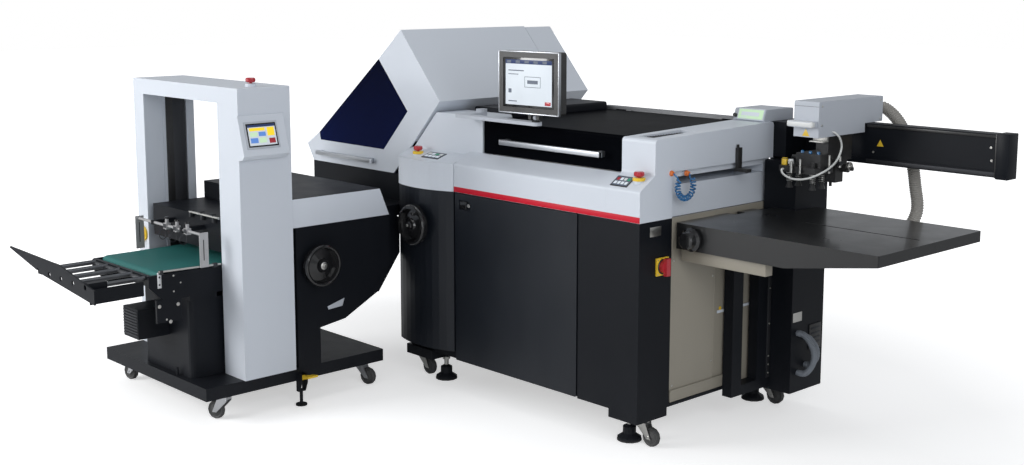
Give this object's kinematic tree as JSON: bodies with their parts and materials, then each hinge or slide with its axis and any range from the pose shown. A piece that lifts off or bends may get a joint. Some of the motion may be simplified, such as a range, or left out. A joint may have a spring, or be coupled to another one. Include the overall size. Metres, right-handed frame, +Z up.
{
  "type": "floor-standing paper folding machine",
  "caption": "Paper folding machine with suction feeder, lifting table, hooded cross-fold unit, swinging monitor and a wheeled press stacker.",
  "frame": {"origin": "centre of the bounding box at the floor", "axes": "+X towards the feeder end, -Y the operator side, +Z up"},
  "size_m": [3.162, 2.5436, 1.529],
  "materials": {
    "light_paint": "semi-gloss pale powder coat",
    "grey_paint": "semi-gloss grey powder coat",
    "black_paint": "satin black powder coat",
    "dark_panel": "satin blue-black powder coat",
    "beige_paint": "satin beige-grey powder coat",
    "table_enamel": "hammered dark grey enamel",
    "smoked_acrylic": "smoked acrylic sheet",
    "blue_acrylic": "deep blue tinted acrylic",
    "steel": "ground steel",
    "cast_alloy": "cast and machined alloy",
    "black_plastic": "fine-grained black plastic",
    "red_plastic": "glossy red plastic",
    "yellow_plastic": "yellow plastic tread",
    "caster_rubber": "dark rubber tyre",
    "belt_rubber": "teal fabric-backed belt",
    "hose_plastic": "ribbed grey hose",
    "blue_hose": "blue polyurethane hose",
    "clear_tube": "milky polyurethane tube"
  },
  "bodies": {
    "machine_frame": {"column_cap": "light_paint", "front_fascia": "light_paint", "register_housing": "light_paint", "hood_rear_cap": "light_paint", "stacker_gantry": "light_paint", "stacker_console": "light_paint", "feeder_console": "grey_paint", "main_cabinet": "black_paint", "cross_fold_base": "black_paint", "lift_mast": "black_paint", "rail_beam": "black_paint", "stacker_base": "black_paint", "stacker_body": "black_paint", "delivery_frame": "black_paint", "column_cover": "dark_panel", "end_wall_panel": "beige_paint", "delivery_rails": "steel", "fold_unit_frame": "cast_alloy", "drive_motor": "cast_alloy", "side_guides": "cast_alloy", "delivery_belt": "belt_rubber", "suction_hose": "hose_plastic", "blower_hose_1": "hose_plastic", "blower_hose_2": "hose_plastic", "air_coil": "blue_hose"},
    "service_door": {"service_door": "dark_panel"},
    "smoked_cover": {"smoked_cover": "smoked_acrylic"},
    "main_handwheel": {"main_handwheel": "black_plastic"},
    "fold_roller_1": {"fold_roller_1": "steel"},
    "fold_roller_2": {"fold_roller_2": "steel"},
    "fold_roller_3": {"fold_roller_3": "steel"},
    "emergency_button_left": {"emergency_button_left": "red_plastic"},
    "emergency_button_right": {"emergency_button_right": "red_plastic"},
    "emergency_button_stacker": {"emergency_button_stacker": "red_plastic"},
    "main_switch_knob": {"main_switch_knob": "red_plastic"},
    "stacker_switch_knob": {"stacker_switch_knob": "red_plastic"},
    "monitor_arm": {"monitor_arm": "grey_paint"},
    "monitor": {"monitor": "black_plastic"},
    "hood": {"hood": "light_paint", "hood_window": "blue_acrylic"},
    "feed_table": {"feed_table": "table_enamel"},
    "table_knob": {"table_knob": "black_plastic"},
    "suction_carriage": {"suction_head": "grey_paint", "separator_head": "black_plastic", "air_tube": "clear_tube"},
    "stacker_handwheel": {"stacker_handwheel": "black_plastic"},
    "delivery_stop": {"delivery_stop": "grey_paint"},
    "floor_lock_pedal": {"floor_lock_pedal": "yellow_plastic"},
    "caster_front_right": {"caster_front_right": "caster_rubber"},
    "caster_back_right": {"caster_back_right": "caster_rubber"},
    "caster_front_left": {"caster_front_left": "caster_rubber"},
    "caster_back_left": {"caster_back_left": "caster_rubber"},
    "stacker_fork_front_right": {"stacker_fork_front_right": "steel"},
    "stacker_wheel_front_right": {"stacker_wheel_front_right": "caster_rubber"},
    "stacker_fork_front_left": {"stacker_fork_front_left": "steel"},
    "stacker_wheel_front_left": {"stacker_wheel_front_left": "caster_rubber"},
    "stacker_fork_back_right": {"stacker_fork_back_right": "steel"},
    "stacker_wheel_back_right": {"stacker_wheel_back_right": "caster_rubber"},
    "stacker_fork_back_left": {"stacker_fork_back_left": "steel"},
    "stacker_wheel_back_left": {"stacker_wheel_back_left": "caster_rubber"}
  },
  "joints": [
    {"name": "service_door_hinge", "type": "hinge", "parent": "machine_frame", "child": "service_door", "pos_m": [0.334, 0.15315, 0.5], "axis": [0, 0, 1], "range_deg": [0, 110]},
    {"name": "smoked_cover_hinge", "type": "hinge", "parent": "machine_frame", "child": "smoked_cover", "pos_m": [0.102, 1.00315, 1.165], "axis": [-1, 0, 0], "range_deg": [0, 65]},
    {"name": "main_handwheel_turn", "type": "hinge", "parent": "machine_frame", "child": "main_handwheel", "pos_m": [-0.572, 0.09315, 0.71], "axis": [0, 1, 0], "continuous": true},
    {"name": "fold_roller_1_spin", "type": "hinge", "parent": "machine_frame", "child": "fold_roller_1", "pos_m": [0.092, 0.60315, 0.985], "axis": [0, 1, 0], "continuous": true},
    {"name": "fold_roller_2_spin", "type": "hinge", "parent": "machine_frame", "child": "fold_roller_2", "pos_m": [0.092, 0.60315, 0.931], "axis": [0, 1, 0], "continuous": true},
    {"name": "fold_roller_3_spin", "type": "hinge", "parent": "machine_frame", "child": "fold_roller_3", "pos_m": [0.14274, 0.60315, 0.91253], "axis": [0, 1, 0], "continuous": true},
    {"name": "emergency_button_left_press", "type": "slide", "parent": "machine_frame", "child": "emergency_button_left", "axis": [0, 0, -1], "range_m": [0, 0.004], "stiffness_N_per_m": 900, "springref_m": -0.004},
    {"name": "emergency_button_right_press", "type": "slide", "parent": "machine_frame", "child": "emergency_button_right", "axis": [0, 0, -1], "range_m": [0, 0.004], "stiffness_N_per_m": 900, "springref_m": -0.004},
    {"name": "emergency_button_stacker_press", "type": "slide", "parent": "machine_frame", "child": "emergency_button_stacker", "axis": [0, 0, -1], "range_m": [0, 0.004], "stiffness_N_per_m": 900, "springref_m": -0.004},
    {"name": "main_switch_turn", "type": "hinge", "parent": "machine_frame", "child": "main_switch_knob", "pos_m": [0.672, 0.27715, 0.691], "axis": [1, 0, 0], "range_deg": [0, 90]},
    {"name": "stacker_switch_turn", "type": "hinge", "parent": "machine_frame", "child": "stacker_switch_knob", "pos_m": [-1.476, -0.72685, 0.648], "axis": [0, -1, 0], "range_deg": [0, 90]},
    {"name": "monitor_arm_swivel", "type": "hinge", "parent": "machine_frame", "child": "monitor_arm", "pos_m": [-0.358, 0.28315, 1.19], "axis": [0, 0, -1], "range_deg": [-25, 70]},
    {"name": "monitor_tilt", "type": "hinge", "parent": "monitor_arm", "child": "monitor", "pos_m": [0.089, 0.17115, 1.2123], "axis": [0.9962, 0.0872, 0], "range_deg": [-25, 10]},
    {"name": "hood_hinge", "type": "hinge", "parent": "machine_frame", "child": "hood", "pos_m": [-0.838, 0.98365, 1.529], "axis": [-1, 0, 0], "range_deg": [0, 60]},
    {"name": "feed_table_lift", "type": "slide", "parent": "machine_frame", "child": "feed_table", "axis": [0, 0, 1], "range_m": [-0.42, 0.06]},
    {"name": "table_knob_turn", "type": "hinge", "parent": "feed_table", "child": "table_knob", "pos_m": [0.747, 0.31815, 0.797], "axis": [0, 1, 0], "continuous": true},
    {"name": "suction_carriage_slide", "type": "slide", "parent": "machine_frame", "child": "suction_carriage", "axis": [1, 0, 0], "range_m": [-0.02, 0.05]},
    {"name": "stacker_handwheel_turn", "type": "hinge", "parent": "machine_frame", "child": "stacker_handwheel", "pos_m": [-0.648, -0.34385, 0.582], "axis": [1, 0, 0], "continuous": true},
    {"name": "delivery_stop_slide", "type": "slide", "parent": "machine_frame", "child": "delivery_stop", "axis": [0, 1, 0], "range_m": [-0.02, 0.13]},
    {"name": "floor_lock_pedal_press", "type": "hinge", "parent": "machine_frame", "child": "floor_lock_pedal", "pos_m": [-0.66, -0.44085, 0.12], "axis": [0, 1, 0], "range_deg": [0, 25]},
    {"name": "caster_front_right_swivel", "type": "hinge", "parent": "machine_frame", "child": "caster_front_right", "pos_m": [0.607, 0.24315, 0.09], "axis": [0, 0, 1], "range_deg": [-90, 90]},
    {"name": "caster_back_right_swivel", "type": "hinge", "parent": "machine_frame", "child": "caster_back_right", "pos_m": [0.614, 1.01015, 0.09], "axis": [0, 0, 1], "range_deg": [-90, 90]},
    {"name": "caster_front_left_swivel", "type": "hinge", "parent": "machine_frame", "child": "caster_front_left", "pos_m": [-0.699, 0.23715, 0.09], "axis": [0, 0, 1], "continuous": true},
    {"name": "caster_back_left_swivel", "type": "hinge", "parent": "machine_frame", "child": "caster_back_left", "pos_m": [-0.699, 1.00815, 0.09], "axis": [0, 0, 1], "continuous": true},
    {"name": "stacker_caster_front_right_swivel", "type": "hinge", "parent": "machine_frame", "child": "stacker_fork_front_right", "pos_m": [-0.726, -0.77385, 0.09], "axis": [0, 0, 1], "continuous": true},
    {"name": "stacker_caster_front_right_roll", "type": "hinge", "parent": "stacker_fork_front_right", "child": "stacker_wheel_front_right", "pos_m": [-0.76359, -0.78753, 0.037], "axis": [0.342, -0.9397, 0], "continuous": true},
    {"name": "stacker_caster_front_left_swivel", "type": "hinge", "parent": "machine_frame", "child": "stacker_fork_front_left", "pos_m": [-1.456, -0.77585, 0.09], "axis": [0, 0, 1], "continuous": true},
    {"name": "stacker_caster_front_left_roll", "type": "hinge", "parent": "stacker_fork_front_left", "child": "stacker_wheel_front_left", "pos_m": [-1.49539, -0.78279, 0.037], "axis": [0.1736, -0.9848, 0], "continuous": true},
    {"name": "stacker_caster_back_right_swivel", "type": "hinge", "parent": "machine_frame", "child": "stacker_fork_back_right", "pos_m": [-0.761, -0.07085, 0.09], "axis": [0, 0, 1], "continuous": true},
    {"name": "stacker_caster_back_right_roll", "type": "hinge", "parent": "stacker_fork_back_right", "child": "stacker_wheel_back_right", "pos_m": [-0.72236, -0.0605, 0.037], "axis": [-0.2588, 0.9659, 0], "continuous": true},
    {"name": "stacker_caster_back_left_swivel", "type": "hinge", "parent": "machine_frame", "child": "stacker_fork_back_left", "pos_m": [-1.491, -0.07085, 0.09], "axis": [0, 0, 1], "continuous": true},
    {"name": "stacker_caster_back_left_roll", "type": "hinge", "parent": "stacker_fork_back_left", "child": "stacker_wheel_back_left", "pos_m": [-1.45341, -0.05717, 0.037], "axis": [-0.342, 0.9397, 0], "continuous": true}
  ],
  "couplings": [
    {"joint": "fold_roller_1_spin", "follows": "main_handwheel_turn", "ratio": 1},
    {"joint": "fold_roller_2_spin", "follows": "main_handwheel_turn", "ratio": -1},
    {"joint": "fold_roller_3_spin", "follows": "main_handwheel_turn", "ratio": 1}
  ]
}
